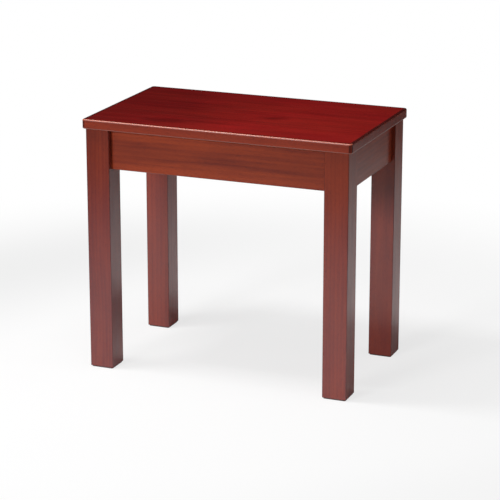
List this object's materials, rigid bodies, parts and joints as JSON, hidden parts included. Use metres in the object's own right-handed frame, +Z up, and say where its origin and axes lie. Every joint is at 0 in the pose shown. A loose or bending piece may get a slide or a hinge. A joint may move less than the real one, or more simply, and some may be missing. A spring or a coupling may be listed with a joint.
{
  "type": "piano bench",
  "caption": "Fixed-height wooden piano bench: a slab seat with rounded-over edges on square legs, tied by set-back aprons with dowelled joints and screwed corner blocks.",
  "frame": {"origin": "on the floor, under the middle of the seat", "axes": "+X along the length of the bench, to the right of someone facing it from the player's side; +Y away from that person, towards the piano; +Z up"},
  "size_m": [0.525, 0.314, 0.48],
  "materials": {
    "lacquered_mahogany": "red mahogany stain under semi-gloss lacquer",
    "bare_hardwood": "unfinished, sawn and sanded",
    "zinc_plated_steel": "bright zinc",
    "dark_felt": "pressed felt"
  },
  "bodies": {
    "root": {"seat_top": "lacquered_mahogany", "front_left_leg": "lacquered_mahogany", "front_right_leg": "lacquered_mahogany", "back_left_leg": "lacquered_mahogany", "back_right_leg": "lacquered_mahogany", "front_apron": "lacquered_mahogany", "back_apron": "lacquered_mahogany", "left_apron": "lacquered_mahogany", "right_apron": "lacquered_mahogany", "front_left_corner_block": "bare_hardwood", "front_right_corner_block": "bare_hardwood", "back_left_corner_block": "bare_hardwood", "back_right_corner_block": "bare_hardwood", "apron_dowels": "bare_hardwood", "corner_block_screws": "zinc_plated_steel", "seat_screws": "zinc_plated_steel", "front_left_foot_pad": "dark_felt", "front_right_foot_pad": "dark_felt", "back_left_foot_pad": "dark_felt", "back_right_foot_pad": "dark_felt"}
  },
  "joints": []
}
